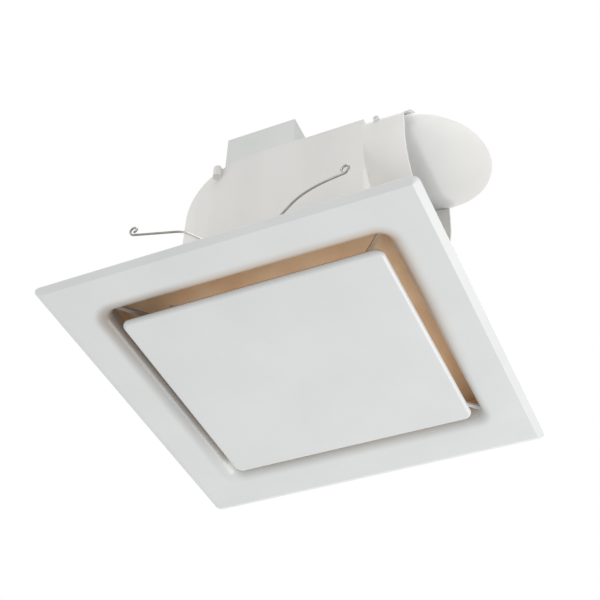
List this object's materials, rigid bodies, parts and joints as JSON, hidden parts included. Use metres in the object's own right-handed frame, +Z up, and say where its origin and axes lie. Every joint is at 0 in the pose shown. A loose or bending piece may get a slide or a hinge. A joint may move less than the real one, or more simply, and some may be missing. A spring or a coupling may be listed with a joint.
{
  "type": "ceiling ventilation fan",
  "caption": "Square ceiling extractor fan with a floating centre panel, spring-held fascia, scroll housing with a side duct outlet, back-draft flap and a roof terminal box.",
  "frame": {"origin": "middle of the fascia on the face of the ceiling", "axes": "+Z points up into the ceiling void, +X points to the duct outlet, the V springs lie on the -Y and +Y sides"},
  "size_m": [0.3259, 0.308, 0.1826],
  "materials": {
    "fascia_plastic": "white moulded ABS, satin",
    "housing_plastic": "white moulded polypropylene, matt",
    "tray_plastic": "warm beige moulded polypropylene, matt",
    "box_plastic": "pale grey moulded plastic, matt",
    "flap_plastic": "thin white moulded plastic, satin",
    "spring_steel": "bright drawn spring wire",
    "zinc_sheet": "zinc-plated pressed steel",
    "zinc_screws": "zinc-plated steel fasteners",
    "motor_steel": "grey coated pressed steel",
    "laminations": "stacked electrical steel",
    "copper_windings": "lacquered copper wire",
    "ground_steel": "ground steel",
    "black_rubber": "black rubber",
    "wheel_plastic": "moulded glass-filled plastic",
    "terminal_plastic": "white nylon",
    "brass_screws": "brass",
    "capacitor_plastic": "moulded plastic case"
  },
  "bodies": {
    "fascia": {"fascia_frame": "fascia_plastic", "centre_panel": "fascia_plastic", "panel_screws": "zinc_screws", "v_spring_near": "spring_steel", "v_spring_far": "spring_steel"},
    "wheel": {"wheel_disc": "wheel_plastic", "wheel_blades": "wheel_plastic", "wheel_rim": "wheel_plastic", "motor_rotor": "laminations", "motor_shaft": "ground_steel", "wheel_nut": "ground_steel"},
    "flap": {"backdraft_flap": "flap_plastic"},
    "housing": {"base_tray": "tray_plastic", "tray_top": "tray_plastic", "ceiling_flange": "zinc_sheet", "flange_collar": "zinc_sheet", "flange_rivets": "zinc_screws", "spring_bracket_near": "zinc_sheet", "spring_bracket_far": "zinc_sheet", "bracket_rivets": "zinc_screws", "inlet_ring": "tray_plastic", "inlet_screws": "zinc_screws", "scroll_housing": "housing_plastic", "tray_screws": "zinc_screws", "roof_plate": "housing_plastic", "roof_screws": "zinc_screws", "outlet_adapter": "housing_plastic", "adapter_screws": "zinc_screws", "hinge_pin": "ground_steel", "terminal_box": "box_plastic", "terminal_lid": "box_plastic", "lid_screws": "zinc_screws", "cable_bush": "black_rubber", "lead_grommet": "black_rubber", "terminal_block": "terminal_plastic", "terminal_screws": "brass_screws", "run_capacitor": "capacitor_plastic", "motor_upper_shield": "motor_steel", "motor_lower_shield": "motor_steel", "stator_core": "laminations", "windings": "copper_windings", "upper_bearing": "ground_steel", "lower_bearing": "ground_steel", "motor_grommets": "black_rubber", "motor_screws": "zinc_screws"}
  },
  "joints": [
    {"name": "wheel_spin", "type": "hinge", "parent": "housing", "child": "wheel", "pos_m": [-0.005, -0.002, 0.066], "axis": [0, 0, 1], "continuous": true},
    {"name": "flap_swing", "type": "hinge", "parent": "housing", "child": "flap", "pos_m": [0.1037, -0.052, 0.1332], "axis": [0, 1, 0], "range_deg": [0, 81]},
    {"name": "fascia_slide", "type": "slide", "parent": "housing", "child": "fascia", "axis": [0, 0, -1], "range_m": [0, 0.03], "stiffness_N_per_m": 600, "springref_m": -0.02, "deforming": ["v_spring_near", "v_spring_far"]}
  ]
}
